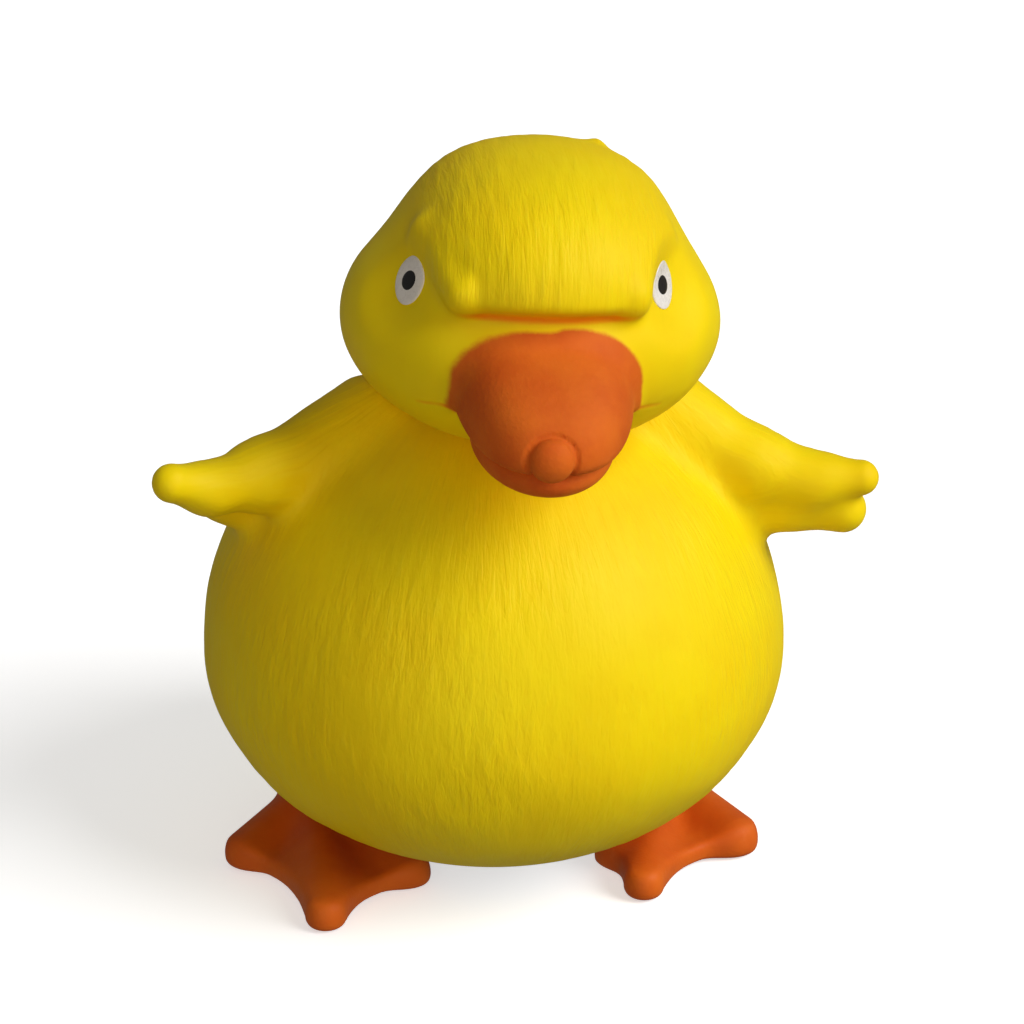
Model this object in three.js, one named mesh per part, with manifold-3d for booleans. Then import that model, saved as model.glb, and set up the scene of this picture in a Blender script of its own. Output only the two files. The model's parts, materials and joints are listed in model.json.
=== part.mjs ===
// Floating chlorine dispenser: a hollow vinyl duckling that floats upright, with a tablet chamber
// let up into its belly. Millimetres, +Z up, the duckling faces -Y and its left side is +X.
// Everything is laid out from the middle of the duckling; the outer group then moves the origin
// to the middle of its bounding box, on the plane that the soles stand on.
import * as THREE from "three";
import { mergeVertices } from "three/addons/utils/BufferGeometryUtils.js";
import Module from "manifold-3d";

const wasm = await Module();
wasm.setup();

// ---- driving dimensions ----
const GAP = 0.3; // clearance between pieces that touch
const BOX_CENTRE = { x: 4.75, y: 1.5 }; // middle of the bounding box, seen from above

// torso: an ellipsoid, shallower below its middle than above, cut flat under the belly
const TORSO = { y: 4, z: 80, width: 102.5, depth: 102, above: 100, below: 75 };
const WALL = 3;
const BELLY_FLAT = 18.8;
const TAIL = { from: [0, 86, 96], to: [0, 112, 120], fromRadius: 26, toRadius: 9 };

// wings: two lobes each, as chains of [x, y, z, radius]; x is measured outwards
const LEFT_WING = [
  [[48, -6, 162.5, 18], [88, -21, 147, 11], [106, -27, 145, 8], [122, -32, 147, 6]],
  [[72, -8, 139, 14], [98, -18, 135, 9.5], [117, -26, 133.5, 8.2]],
];
const RIGHT_WING = [
  [[44, -4, 163, 18], [82, -24, 154, 10.5], [99, -35, 156.5, 7.2], [112, -43, 162, 6.5]],
  [[75, -2, 145, 14], [91, -9, 145, 10], [104, -18, 151, 7]],
];

// head: ellipsoids given as [centre, radii, pitch in degrees], in the head's own frame
const HEAD = { at: [8, -32, 213], roll: 4.5, yaw: -2.5, wall: 4.5 };
const CHEEKS = [[-0.8, 4, -5.5], [62.5, 57, 41.5], 0];
const CROWN = [[2, 6, 15], [46.5, 48, 39], 0];
const FOREHEAD = [[1, -14, 17], [46, 44, 33], 0];
const BROW = { z: 13.5, halfWidth: 31, spread: 26 };
const BILL_UPPER = [[0, -46, -18.5], [29.5, 37, 23.5], 24];
const BILL_LOWER = [[0, -46, -28], [20, 32, 11], 10];
const LIP = { y: -50, z: -22, pitch: 13.5 }; // the upper bill ends at this sloping plane
const BILL_NAIL = [[-1, -81.5, -23], [7, 4.5, 7], 0];
const BILL_WALL = 4;
const NECK = { x: 6, y: -14, radius: 22, bore: 19, bottom: 160, top: 188, bead: 24, beadHeight: 4 };

// eyes: round buttons at the bottom of shallow sockets, each with a pupil let into it
const LEFT_EYE = [37.8, -29, 18.5];
const RIGHT_EYE = [-43.5, -26, 14.8];
const EYE = { facing: [0.85, -0.52, 0.1], radius: 8, depth: 1.8 };
const SOCKET = { radius: 15, depth: 10 };
const PUPIL = { radius: 3.5, depth: 1.2, proud: 1 };
const EYE_INSET = 0.5;

// feet: heel and three toes seen from above, as [x, y, radius]; x is measured outwards
const LEFT_TOES = [[84, -20, 8], [45, -51, 5.2], [28, -31, 5]];
const RIGHT_TOES = [[91, -6, 5.5], [66, -57, 5.6], [34, -28, 5]];
const FEET = [
  { name: "foot_left", side: 1, heel: [61, 26], toes: LEFT_TOES },
  { name: "foot_right", side: -1, heel: [63, 26], toes: RIGHT_TOES },
];
const HEEL = { z: 9, radius: 9 };
const TOE_Z = 4.8;
const WEB = { thick: 7.8, bite: 0.19 };
const PEG = { x: 67, y: 26, radius: 5, cap: 8.5, capHeight: 2.5, inFoot: 8, inBody: 5.4 };
const LID_PATH = { radius: 44.2, flangeRadius: 55, flangeBottom: 13.3 }; // kept free of the feet

// tablet chamber: an inverted cup with a wider threaded throat and a flange under the belly
const AXIS_Y = 7; // the chamber stands behind the torso's middle, to balance the head
const CHAMBER = { bore: 40.5, outer: 43, roof: 105, roofThick: 2.5, shoulder: 31 };
const THROAT = { bore: 44, outer: 46.5, mouth: 15.5, ledge: 25.4, top: 29 };
const FLANGE = { radius: 54, thick: 1.7, boltCircle: 50.2 };
const GASKET = { bottom: 17.5, thick: 1 };
const CLAMP = { inner: 47.2, bottom: 22.1, thick: 3 };
const BALLAST = { outer: 56, bottom: 25.4, thick: 8 };
const SCREWS = { count: 6, shank: 1.5, hole: 1.9, head: 2.7, headThick: 1.3, end: 24.5 };

// lid: a keyed grille on a threaded ring, with a flow dial under the grille
const THREAD = { pitch: 4, rootHalf: 1, crestHalf: 0.5, root: 0.9, steps: 30 };
const RING = { inner: 35.5, outer: 41.4, bottom: 14.2, top: 22, crest: 43.2, turns: 1.35 };
const CHAMBER_THREAD = { crest: 42, start: 17.2, turns: 1.7 };
const RING_LUG = { count: 4, width: 8, inner: 36.5, outer: 40.2, drop: 2 };
const GRILLE = { radius: 41.2, bottom: 22.3, top: 25, keyReach: 43.4, keyWidth: 6, keyway: 9 };
const WINDOW = { count: 6, inner: 13, outer: 33, degrees: 29 };
const DIAL = { radius: 34.7, bottom: 19, top: 22, grip: [15, 31], gripWidth: 3, gripBottom: 16 };
const PIVOT = { shank: 2, hole: 2.3, head: 4.5, headBottom: 15.4, headTop: 17.6 };
const WASHER = { radius: 6, bottom: 17.9, top: 18.7 };

// vent: lets air out of the chamber so that water can rise into it
const NIPPLE = { y: 35, outer: 2.4, bore: 1.4, height: 9 };
const TUBE = { outer: 4.2, bore: 2.8, steps: 12, halfSides: 5 };
const VENT = { height: 0.72, hole: 6, lip: 8, groove: 5.7, bore: 4.7, lipThick: 1.5, inside: 4.4 };

const LOOKS = {
  yellowVinyl: { color: 0xf2cf10, roughness: 0.5, metalness: 0 },
  orangeVinyl: { color: 0xc85a18, roughness: 0.55, metalness: 0 },
  white: { color: 0xe6e4de, roughness: 0.35, metalness: 0 },
  black: { color: 0x0a0a0a, roughness: 0.3, metalness: 0 },
  whitePlastic: { color: 0xe9eceb, roughness: 0.45, metalness: 0 },
  greyPlastic: { color: 0x8f979b, roughness: 0.5, metalness: 0 },
  rubber: { color: 0x26282a, roughness: 0.85, metalness: 0 },
  silicone: { color: 0xc9cdc8, roughness: 0.4, metalness: 0 },
  steel: { color: 0xa9adb0, roughness: 0.35, metalness: 1 },
};

const duckling = new THREE.Group();
duckling.position.set(-BOX_CENTRE.x, -BOX_CENTRE.y, 0);

// ---- solids ----
// A closed three.js geometry as a manifold solid, its faces turned outwards.
function solid(geometry) {
  const bare = new THREE.BufferGeometry();
  const source = geometry.index ? geometry.toNonIndexed() : geometry;
  bare.setAttribute("position", source.getAttribute("position"));
  const merged = mergeVertices(bare, 1e-4);
  const vertProperties = merged.attributes.position.array;
  const triVerts = new Uint32Array(merged.index.array);
  const made = new wasm.Manifold(new wasm.Mesh({ numProp: 3, vertProperties, triVerts }));
  if (made.volume() > 0) return made;
  for (let i = 0; i < triVerts.length; i += 3) {
    [triVerts[i + 1], triVerts[i + 2]] = [triVerts[i + 2], triVerts[i + 1]];
  }
  return new wasm.Manifold(new wasm.Mesh({ numProp: 3, vertProperties, triVerts }));
}

// Adds a solid to the duckling as a named mesh.
function place(name, shape, look) {
  const mesh = shape.getMesh();
  const geometry = new THREE.BufferGeometry();
  geometry.setAttribute("position", new THREE.BufferAttribute(mesh.vertProperties, 3));
  geometry.setIndex(new THREE.BufferAttribute(mesh.triVerts, 1));
  geometry.computeVertexNormals();
  const part = new THREE.Mesh(geometry, new THREE.MeshStandardMaterial(LOOKS[look]));
  part.name = name;
  duckling.add(part);
}

const join = (shapes) => shapes.reduce((all, next) => all.add(next));
const cut = (shape, tools) => tools.reduce((rest, tool) => rest.subtract(tool), shape);
const degrees = (angle) => THREE.MathUtils.degToRad(angle);

// A profile of [radius, height] points turned about a vertical axis at (x, y).
function turned(profile, x, y, segments = 36) {
  const points = profile.map(([radius, height]) => new THREE.Vector2(radius, height));
  const geometry = new THREE.LatheGeometry(points, segments).rotateX(degrees(90));
  return solid(geometry.translate(x, y, 0));
}

// A ring with a square section, or a plain disc where its inner radius is zero.
function ring(inner, outer, bottom, top, x = 0, y = AXIS_Y, segments = 36) {
  const face = [[inner, bottom], [outer, bottom], [outer, top], [inner, top]];
  return turned(inner > 0 ? [...face, face[0]] : face, x, y, segments);
}

function block(width, depth, bottom, top, x = 0, y = 0) {
  const geometry = new THREE.BoxGeometry(width, depth, top - bottom);
  return solid(geometry.translate(x, y, (top + bottom) / 2));
}

// An ellipsoid from [centre, radii, pitch], made smaller by inset.
function ellipsoid([centre, radii, pitch], inset = 0, across = 20, down = 12) {
  const geometry = new THREE.SphereGeometry(1, across, down).rotateX(degrees(90));
  geometry.scale(...radii.map((radius) => radius - inset));
  return solid(geometry.rotateX(degrees(pitch)).translate(...centre));
}

// A rod with round ends of two radii, from one point to the other.
function taperedRod(from, to, fromRadius, toRadius, sides = 8) {
  const start = new THREE.Vector3(...from);
  const reach = new THREE.Vector3(...to).sub(start);
  const steps = 3;
  const profile = [];
  for (let i = 0; i <= steps; i += 1) {
    const angle = degrees(90 * (i / steps - 1));
    profile.push(new THREE.Vector2(fromRadius * Math.cos(angle), fromRadius * Math.sin(angle)));
  }
  for (let i = 0; i <= steps; i += 1) {
    const angle = degrees((90 * i) / steps);
    const height = reach.length() + toRadius * Math.sin(angle);
    profile.push(new THREE.Vector2(toRadius * Math.cos(angle), height));
  }
  profile[0].x = 0;
  profile[profile.length - 1].x = 0;
  const geometry = new THREE.LatheGeometry(profile, sides);
  return solid(pointed(geometry, start, reach));
}

// Turns a geometry that was made along +Y to run along a direction, and moves it to a point.
function pointed(geometry, at, direction) {
  const up = new THREE.Vector3(0, 1, 0);
  const turn = new THREE.Quaternion().setFromUnitVectors(up, direction.clone().normalize());
  return geometry.applyQuaternion(turn).translate(at.x, at.y, at.z);
}

// A profile of [radius, distance] points turned about a line from a point along a direction.
function turnedAlong(profile, at, direction, segments = 16) {
  const points = profile.map(([radius, distance]) => new THREE.Vector2(radius, distance));
  return solid(pointed(new THREE.LatheGeometry(points, segments), at, direction));
}

// ---- torso, wings and tail ----
function torso(inset, across = 32, down = 18) {
  const geometry = new THREE.SphereGeometry(1, across, down).rotateX(degrees(90));
  const spots = geometry.attributes.position;
  for (let i = 0; i < spots.count; i += 1) {
    const height = spots.getZ(i) > 0 ? TORSO.above : TORSO.below;
    const x = spots.getX(i) * (TORSO.width - inset);
    const y = spots.getY(i) * (TORSO.depth - inset) + TORSO.y;
    spots.setXYZ(i, x, y, spots.getZ(i) * (height - inset) + TORSO.z);
  }
  return solid(geometry);
}

// Point and outward direction on the torso's underside, at a place seen from above.
function underside(x, y) {
  const across = x / TORSO.width;
  const along = (y - TORSO.y) / TORSO.depth;
  const drop = Math.sqrt(1 - across ** 2 - along ** 2);
  const at = new THREE.Vector3(x, y, TORSO.z - TORSO.below * drop);
  const out = new THREE.Vector3(across / TORSO.width, along / TORSO.depth, -drop / TORSO.below);
  return { at, out: out.normalize() };
}

// Point and outward direction where the vent leaves the duckling's back.
function ventExit() {
  const run = Math.sqrt(1 - VENT.height ** 2);
  const at = new THREE.Vector3(0, TORSO.y + TORSO.depth * run, TORSO.z + TORSO.above * VENT.height);
  const out = new THREE.Vector3(0, run / TORSO.depth, VENT.height / TORSO.above);
  return { at, out: out.normalize() };
}

function wingRods(grow = 0) {
  const rods = [];
  for (const [side, wing] of [[1, LEFT_WING], [-1, RIGHT_WING]]) {
    for (const lobe of wing) {
      for (let i = 1; i < lobe.length; i += 1) {
        const [from, to] = [lobe[i - 1], lobe[i]];
        const start = [side * from[0], from[1], from[2]];
        const end = [side * to[0], to[1], to[2]];
        rods.push(taperedRod(start, end, from[3] + grow, to[3] + grow));
      }
    }
  }
  return rods;
}

const below = (height) => block(400, 400, height - 200, height);
const screwPlaces = Array.from({ length: SCREWS.count }, (_, i) => {
  const angle = (2 * Math.PI * (i + 0.5)) / SCREWS.count + Math.PI / 2;
  return [FLANGE.boltCircle * Math.cos(angle), AXIS_Y + FLANGE.boltCircle * Math.sin(angle)];
});
const screwHoles = (bottom, top) =>
  screwPlaces.map(([x, y]) => ring(0, SCREWS.hole, bottom, top, x, y, 10));

function pegHole({ side }) {
  const { at, out } = underside(side * PEG.x, PEG.y);
  const reach = 2 * WALL;
  const radius = PEG.radius + GAP;
  return turnedAlong([[0, -reach], [radius, -reach], [radius, reach], [0, reach]], at, out);
}

function bodyShell() {
  const tail = taperedRod(TAIL.from, TAIL.to, TAIL.fromRadius, TAIL.toRadius, 20);
  const outside = join([torso(0), tail, ...wingRods()]).subtract(below(BELLY_FLAT));
  const hollow = torso(WALL, 24, 14).subtract(below(BELLY_FLAT + WALL));
  const { at, out } = ventExit();
  const ventHole = [[0, -3 * WALL], [VENT.hole, -3 * WALL], [VENT.hole, WALL], [0, WALL]];
  return cut(outside, [
    hollow,
    ring(0, THROAT.outer + 2 * GAP, 0, BELLY_FLAT + 2 * WALL),
    ring(0, NECK.radius + GAP, NECK.bottom, NECK.top + WALL, NECK.x, NECK.y, 28),
    turnedAlong(ventHole, at, out),
    ...FEET.map(pegHole),
    ...screwHoles(0, BELLY_FLAT + 2 * WALL),
  ]);
}

// ---- head ----
const headFrame = new THREE.Matrix4()
  .makeRotationFromEuler(new THREE.Euler(0, degrees(HEAD.roll), degrees(HEAD.yaw), "ZYX"))
  .setPosition(...HEAD.at);
const inHeadFrame = (shape) => shape.transform(headFrame.elements);

// The forehead overhangs the eyes and the bill: flat below, with sides that lean outwards.
function forehead() {
  const overhang = ellipsoid(FOREHEAD);
  const halfWidth = BROW.halfWidth;
  const reach = 60;
  const widen = reach * Math.tan(degrees(BROW.spread));
  const outline = new THREE.Shape([
    new THREE.Vector2(-halfWidth, 0),
    new THREE.Vector2(halfWidth, 0),
    new THREE.Vector2(halfWidth + widen, reach),
    new THREE.Vector2(-halfWidth - widen, reach),
  ]);
  const depth = 3 * reach;
  const keep = new THREE.ExtrudeGeometry(outline, { depth, bevelEnabled: false });
  keep.rotateX(degrees(90)).translate(0, depth / 2, BROW.z);
  return overhang.intersect(solid(keep));
}

// A lens facing out of the head at an eye, its middle raised by proud above the socket's floor.
function eyeLens(side, radius, depth, proud) {
  const mirror = new THREE.Vector3(side, 1, 1);
  const out = new THREE.Vector3(...EYE.facing).normalize().multiply(mirror);
  const at = side > 0 ? LEFT_EYE : RIGHT_EYE;
  const middle = new THREE.Vector3(...at).addScaledVector(out, proud);
  const lens = new THREE.SphereGeometry(1, 14, 6).scale(radius, depth, radius);
  return solid(pointed(lens, middle, out));
}

const eyeButton = (side, grow = 0) =>
  eyeLens(side, EYE.radius + grow, EYE.depth + grow, -EYE_INSET);
const pupilButton = (side, grow = 0) =>
  eyeLens(side, PUPIL.radius + grow, PUPIL.depth + grow, PUPIL.proud);
const eyeSocket = (side) => eyeLens(side, SOCKET.radius, SOCKET.depth, SOCKET.depth);

// The upper bill, cut off along the sloping lip and made smaller by inset.
function upperBill(inset = 0, across = 20, down = 12) {
  const reach = 100;
  const under = new THREE.BoxGeometry(reach, 2 * reach, reach).translate(0, 0, -reach / 2);
  under.rotateX(degrees(LIP.pitch)).translate(0, LIP.y, LIP.z + inset);
  return ellipsoid(BILL_UPPER, inset, across, down).subtract(solid(under));
}

function headShell() {
  const outside = join([
    ellipsoid(CHEEKS, 0, 24, 16),
    ellipsoid(CROWN),
    forehead(),
    upperBill(),
    ellipsoid(BILL_LOWER, 0, 20, 10),
    ellipsoid(BILL_NAIL, 0, 12, 8),
  ]);
  const hollow = join([
    ellipsoid(CHEEKS, HEAD.wall, 16, 10),
    ellipsoid(CROWN, HEAD.wall, 16, 10),
    upperBill(BILL_WALL, 12, 8),
  ]);
  const seated = cut(inHeadFrame(outside), [torso(-GAP), ...wingRods(GAP)]);
  const spigot = turned(
    [
      [0, NECK.bottom],
      [NECK.bead, NECK.bottom],
      [NECK.bead, NECK.bottom + NECK.beadHeight],
      [NECK.radius, NECK.bottom + NECK.beadHeight],
      [NECK.radius, NECK.top],
      [0, NECK.top],
    ],
    NECK.x,
    NECK.y,
    28,
  );
  const eyePockets = [1, -1].map((side) =>
    inHeadFrame(eyeButton(side, GAP).add(eyeSocket(side))),
  );
  return cut(seated.add(spigot), [
    inHeadFrame(hollow).subtract(torso(-GAP - WALL)),
    ring(0, NECK.bore, NECK.bottom - 1, NECK.top + 1, NECK.x, NECK.y, 28),
    ...eyePockets,
  ]);
}

// ---- feet ----
// Web between the toes: each edge is bitten in towards the heel.
function web({ side, heel, toes }) {
  const [outer, middle, inner] = toes.map(([x, y]) => new THREE.Vector2(side * x, y));
  const back = new THREE.Vector2(side * heel[0], heel[1]);
  const bite = (a, b) => a.clone().add(b).multiplyScalar(0.5).lerp(back, WEB.bite);
  const first = bite(outer, middle);
  const second = bite(middle, inner);
  const outline = new THREE.Shape().moveTo(back.x, back.y).lineTo(outer.x, outer.y);
  outline.quadraticCurveTo(first.x, first.y, middle.x, middle.y);
  outline.quadraticCurveTo(second.x, second.y, inner.x, inner.y);
  const how = { depth: WEB.thick, bevelEnabled: false, curveSegments: 6 };
  return solid(new THREE.ExtrudeGeometry(outline, how));
}

function foot(spec) {
  const { side, heel, toes } = spec;
  const heelAt = [side * heel[0], heel[1], HEEL.z];
  const rods = toes.map(([x, y, radius]) =>
    taperedRod(heelAt, [side * x, y, TOE_Z], HEEL.radius, radius),
  );
  const { at, out } = underside(side * PEG.x, PEG.y);
  const ankle = taperedRod(heelAt, at.toArray(), HEEL.radius, HEEL.radius);
  const capTop = -PEG.inBody - PEG.capHeight;
  const peg = turnedAlong(
    [
      [0, PEG.inFoot],
      [PEG.radius, PEG.inFoot],
      [PEG.radius, -PEG.inBody],
      [PEG.cap, -PEG.inBody],
      [PEG.cap, capTop],
      [0, capTop],
    ],
    at,
    out,
  );
  const sole = cut(join([web(spec), ankle, ...rods]), [
    below(0),
    torso(-GAP),
    ring(0, LID_PATH.radius, -1, TORSO.z),
    ring(0, LID_PATH.flangeRadius, LID_PATH.flangeBottom, TORSO.z),
  ]);
  return sole.add(peg);
}

// ---- tablet chamber and what fastens it ----
// A ridge wound into a right-hand thread: a straight bar bent round the chamber's axis.
function threadRidge(root, crest, start, turns) {
  const section = new THREE.Shape([
    new THREE.Vector2(root, -THREAD.rootHalf),
    new THREE.Vector2(crest, -THREAD.crestHalf),
    new THREE.Vector2(crest, THREAD.crestHalf),
    new THREE.Vector2(root, THREAD.rootHalf),
  ]);
  const depth = turns * 2 * Math.PI;
  const steps = Math.round(turns * THREAD.steps);
  const bar = new THREE.ExtrudeGeometry(section, { depth, steps, bevelEnabled: false });
  const spots = bar.attributes.position;
  for (let i = 0; i < spots.count; i += 1) {
    const radius = spots.getX(i);
    const angle = spots.getZ(i);
    const height = start + spots.getY(i) + (THREAD.pitch * angle) / (2 * Math.PI);
    spots.setXYZ(i, radius * Math.cos(angle), AXIS_Y + radius * Math.sin(angle), height);
  }
  return solid(bar);
}

function tabletChamber() {
  const top = CHAMBER.roof + CHAMBER.roofThick;
  const cup = turned(
    [
      [0, CHAMBER.roof],
      [CHAMBER.bore, CHAMBER.roof],
      [CHAMBER.bore, THROAT.ledge],
      [THROAT.bore, THROAT.ledge],
      [THROAT.bore, THROAT.mouth],
      [FLANGE.radius, THROAT.mouth],
      [FLANGE.radius, THROAT.mouth + FLANGE.thick],
      [THROAT.outer, THROAT.mouth + FLANGE.thick],
      [THROAT.outer, THROAT.top],
      [CHAMBER.outer, CHAMBER.shoulder],
      [CHAMBER.outer, top],
      [0, top],
    ],
    0,
    AXIS_Y,
  );
  const { crest, start, turns } = CHAMBER_THREAD;
  const keyways = block(3 * THROAT.bore, GRILLE.keyway, 0, THROAT.ledge, 0, AXIS_Y);
  const thread = threadRidge(THROAT.bore + THREAD.root, crest, start, turns).subtract(keyways);
  const nipple = ring(0, NIPPLE.outer, CHAMBER.roof + 1, top + NIPPLE.height, 0, NIPPLE.y, 16);
  const airWay = ring(0, NIPPLE.bore, CHAMBER.roof - 1, top + NIPPLE.height + 1, 0, NIPPLE.y, 16);
  const holes = screwHoles(THROAT.mouth - 1, THROAT.mouth + FLANGE.thick + 1);
  return cut(join([cup, thread, nipple]), [airWay, ...holes]);
}

function boltedRing(inner, outer, bottom, thick) {
  return cut(ring(inner, outer, bottom, bottom + thick), screwHoles(bottom - 1, bottom + thick + 1));
}

const flangeGasket = () =>
  boltedRing(THROAT.outer + GAP, FLANGE.radius, GASKET.bottom, GASKET.thick);
const ballastRing = () =>
  ring(CLAMP.inner, BALLAST.outer, BALLAST.bottom, BALLAST.bottom + BALLAST.thick);

function flangeScrew(x, y) {
  const seat = THROAT.mouth - GAP;
  const head = ring(0, SCREWS.head, seat - SCREWS.headThick, seat, x, y, 12);
  return head.add(ring(0, SCREWS.shank, seat - SCREWS.headThick / 2, SCREWS.end, x, y, 10));
}

// ---- lid ----
// Sector-shaped flow windows, evenly spaced; the first is centred on the +Y side.
function flowWindows(bottom, top) {
  return Array.from({ length: WINDOW.count }, (_, i) => {
    const middle = degrees(90) + (2 * Math.PI * i) / WINDOW.count;
    const half = degrees(WINDOW.degrees / 2);
    const outline = new THREE.Shape();
    outline.absarc(0, 0, WINDOW.outer, middle - half, middle + half, false);
    outline.absarc(0, 0, WINDOW.inner, middle + half, middle - half, true);
    const how = { depth: top - bottom, bevelEnabled: false, curveSegments: 4 };
    return solid(new THREE.ExtrudeGeometry(outline, how).translate(0, AXIS_Y, bottom));
  });
}

function lidGrille() {
  const plate = ring(0, GRILLE.radius, GRILLE.bottom, GRILLE.top);
  const keys = block(2 * GRILLE.keyReach, GRILLE.keyWidth, GRILLE.bottom, GRILLE.top, 0, AXIS_Y);
  const pivotHole = ring(0, PIVOT.hole, GRILLE.bottom - 1, GRILLE.top + 1, 0, AXIS_Y, 16);
  return cut(plate.add(keys), [pivotHole, ...flowWindows(GRILLE.bottom - 1, GRILLE.top + 1)]);
}

function lockRing() {
  const body = ring(RING.inner, RING.outer, RING.bottom, RING.top);
  const start = CHAMBER_THREAD.start - THREAD.pitch / 2;
  const thread = threadRidge(RING.outer - THREAD.root, RING.crest, start, RING.turns);
  const lugs = Array.from({ length: RING_LUG.count }, (_, i) => {
    const length = RING_LUG.outer - RING_LUG.inner;
    const lug = new THREE.BoxGeometry(length, RING_LUG.width, RING_LUG.drop + 1);
    lug.translate(RING_LUG.inner + length / 2, 0, RING.bottom + (1 - RING_LUG.drop) / 2);
    lug.rotateZ(degrees(45) + (2 * Math.PI * i) / RING_LUG.count);
    return solid(lug.translate(0, AXIS_Y, 0));
  });
  return join([body, thread, ...lugs]);
}

function flowDial() {
  const plate = ring(0, DIAL.radius, DIAL.bottom, DIAL.top);
  const [near, far] = DIAL.grip;
  const grips = [1, -1].map((side) => {
    const middle = (side * (near + far)) / 2;
    return block(far - near, DIAL.gripWidth, DIAL.gripBottom, DIAL.bottom + 1, middle, AXIS_Y);
  });
  const pivotHole = ring(0, PIVOT.hole, DIAL.bottom - 1, DIAL.top + 1, 0, AXIS_Y, 16);
  return cut(join([plate, ...grips]), [pivotHole, ...flowWindows(0, DIAL.top + 1)]);
}

function dialScrew() {
  const head = ring(0, PIVOT.head, PIVOT.headBottom, PIVOT.headTop, 0, AXIS_Y, 20);
  return head.add(ring(0, PIVOT.shank, PIVOT.headBottom + 1, GRILLE.top, 0, AXIS_Y, 16));
}

const dialWasher = () =>
  ring(PIVOT.hole, WASHER.radius, WASHER.bottom, WASHER.top, 0, AXIS_Y, 20);

// ---- vent ----
function ventTube() {
  const { at, out } = ventExit();
  const start = new THREE.Vector3(0, NIPPLE.y, CHAMBER.roof + CHAMBER.roofThick + 2 * GAP);
  const bend = start.clone().setZ(start.z + 12);
  const lead = at.clone().addScaledVector(out, -12);
  const end = at.clone().addScaledVector(out, VENT.lipThick);
  const route = new THREE.CurvePath();
  route.add(new THREE.LineCurve3(start, bend));
  const first = bend.clone().setZ(bend.z + 12);
  const second = lead.clone().addScaledVector(out, -12);
  route.add(new THREE.CubicBezierCurve3(bend, first, second, lead));
  route.add(new THREE.LineCurve3(lead, end));
  const section = new THREE.Shape().absarc(0, 0, TUBE.outer, 0, 2 * Math.PI);
  section.holes.push(new THREE.Path().absarc(0, 0, TUBE.bore, 0, 2 * Math.PI, true));
  const how = { extrudePath: route, steps: TUBE.steps, curveSegments: TUBE.halfSides };
  return solid(new THREE.ExtrudeGeometry(section, how));
}

function ventGrommet() {
  const { at, out } = ventExit();
  const { lip, groove, bore, lipThick, inside } = VENT;
  const profile = [
    [bore, -inside - lipThick],
    [lip, -inside - lipThick],
    [lip, -inside],
    [groove, -inside],
    [groove, GAP],
    [lip, GAP],
    [lip, GAP + lipThick],
    [bore, GAP + lipThick],
    [bore, -inside - lipThick],
  ];
  return turnedAlong(profile, at, out);
}

// ---- assembly ----
place("body_shell", bodyShell(), "yellowVinyl");
place("head_shell", headShell(), "yellowVinyl");
for (const [name, side] of [["left", 1], ["right", -1]]) {
  const eye = eyeButton(side).subtract(pupilButton(side, GAP));
  place(`eye_${name}`, inHeadFrame(eye), "white");
  place(`pupil_${name}`, inHeadFrame(pupilButton(side)), "black");
}
for (const spec of FEET) place(spec.name, foot(spec), "orangeVinyl");
place("tablet_chamber", tabletChamber(), "whitePlastic");
place("flange_gasket", flangeGasket(), "rubber");
place("clamp_ring", boltedRing(CLAMP.inner, FLANGE.radius, CLAMP.bottom, CLAMP.thick), "greyPlastic");
place("ballast_ring", ballastRing(), "steel");
screwPlaces.forEach(([x, y], i) => place(`flange_screw_${i + 1}`, flangeScrew(x, y), "steel"));
place("vent_tube", ventTube(), "silicone");
place("vent_grommet", ventGrommet(), "rubber");
place("lid_grille", lidGrille(), "greyPlastic");
place("lock_ring", lockRing(), "whitePlastic");
place("flow_dial", flowDial(), "whitePlastic");
place("dial_screw", dialScrew(), "steel");
place("dial_washer", dialWasher(), "steel");

export default duckling;
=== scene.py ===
import json
import math
from functools import reduce

import bpy
import numpy as np
import openvdb
from mathutils import Matrix, Vector, noise


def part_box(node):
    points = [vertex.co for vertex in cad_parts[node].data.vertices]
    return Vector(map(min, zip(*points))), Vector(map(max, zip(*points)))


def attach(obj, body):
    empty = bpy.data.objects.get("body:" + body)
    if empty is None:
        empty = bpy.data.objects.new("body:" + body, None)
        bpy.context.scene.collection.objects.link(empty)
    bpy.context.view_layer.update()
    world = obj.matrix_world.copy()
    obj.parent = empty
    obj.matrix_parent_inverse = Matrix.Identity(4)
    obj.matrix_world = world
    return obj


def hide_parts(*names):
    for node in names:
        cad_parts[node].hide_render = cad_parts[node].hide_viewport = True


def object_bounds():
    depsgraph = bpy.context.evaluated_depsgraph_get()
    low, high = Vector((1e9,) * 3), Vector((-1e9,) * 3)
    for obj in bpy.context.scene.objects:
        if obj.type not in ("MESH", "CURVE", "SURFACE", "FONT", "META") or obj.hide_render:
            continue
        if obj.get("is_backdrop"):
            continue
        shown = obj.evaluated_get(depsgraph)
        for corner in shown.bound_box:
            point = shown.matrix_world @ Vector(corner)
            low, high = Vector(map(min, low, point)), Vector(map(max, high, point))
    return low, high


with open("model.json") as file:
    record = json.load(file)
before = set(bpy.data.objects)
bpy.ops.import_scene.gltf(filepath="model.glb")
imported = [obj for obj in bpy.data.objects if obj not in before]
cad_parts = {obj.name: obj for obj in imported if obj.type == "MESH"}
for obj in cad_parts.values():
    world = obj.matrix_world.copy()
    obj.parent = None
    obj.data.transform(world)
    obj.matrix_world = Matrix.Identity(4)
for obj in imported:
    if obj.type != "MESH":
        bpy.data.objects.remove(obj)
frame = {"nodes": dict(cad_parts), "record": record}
CAD_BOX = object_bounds()

MM = 0.001
AXIS_Y = 7  # the tablet chamber stands this far behind the duckling's middle
GAP = 0.3  # clearance between pieces that touch


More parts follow.
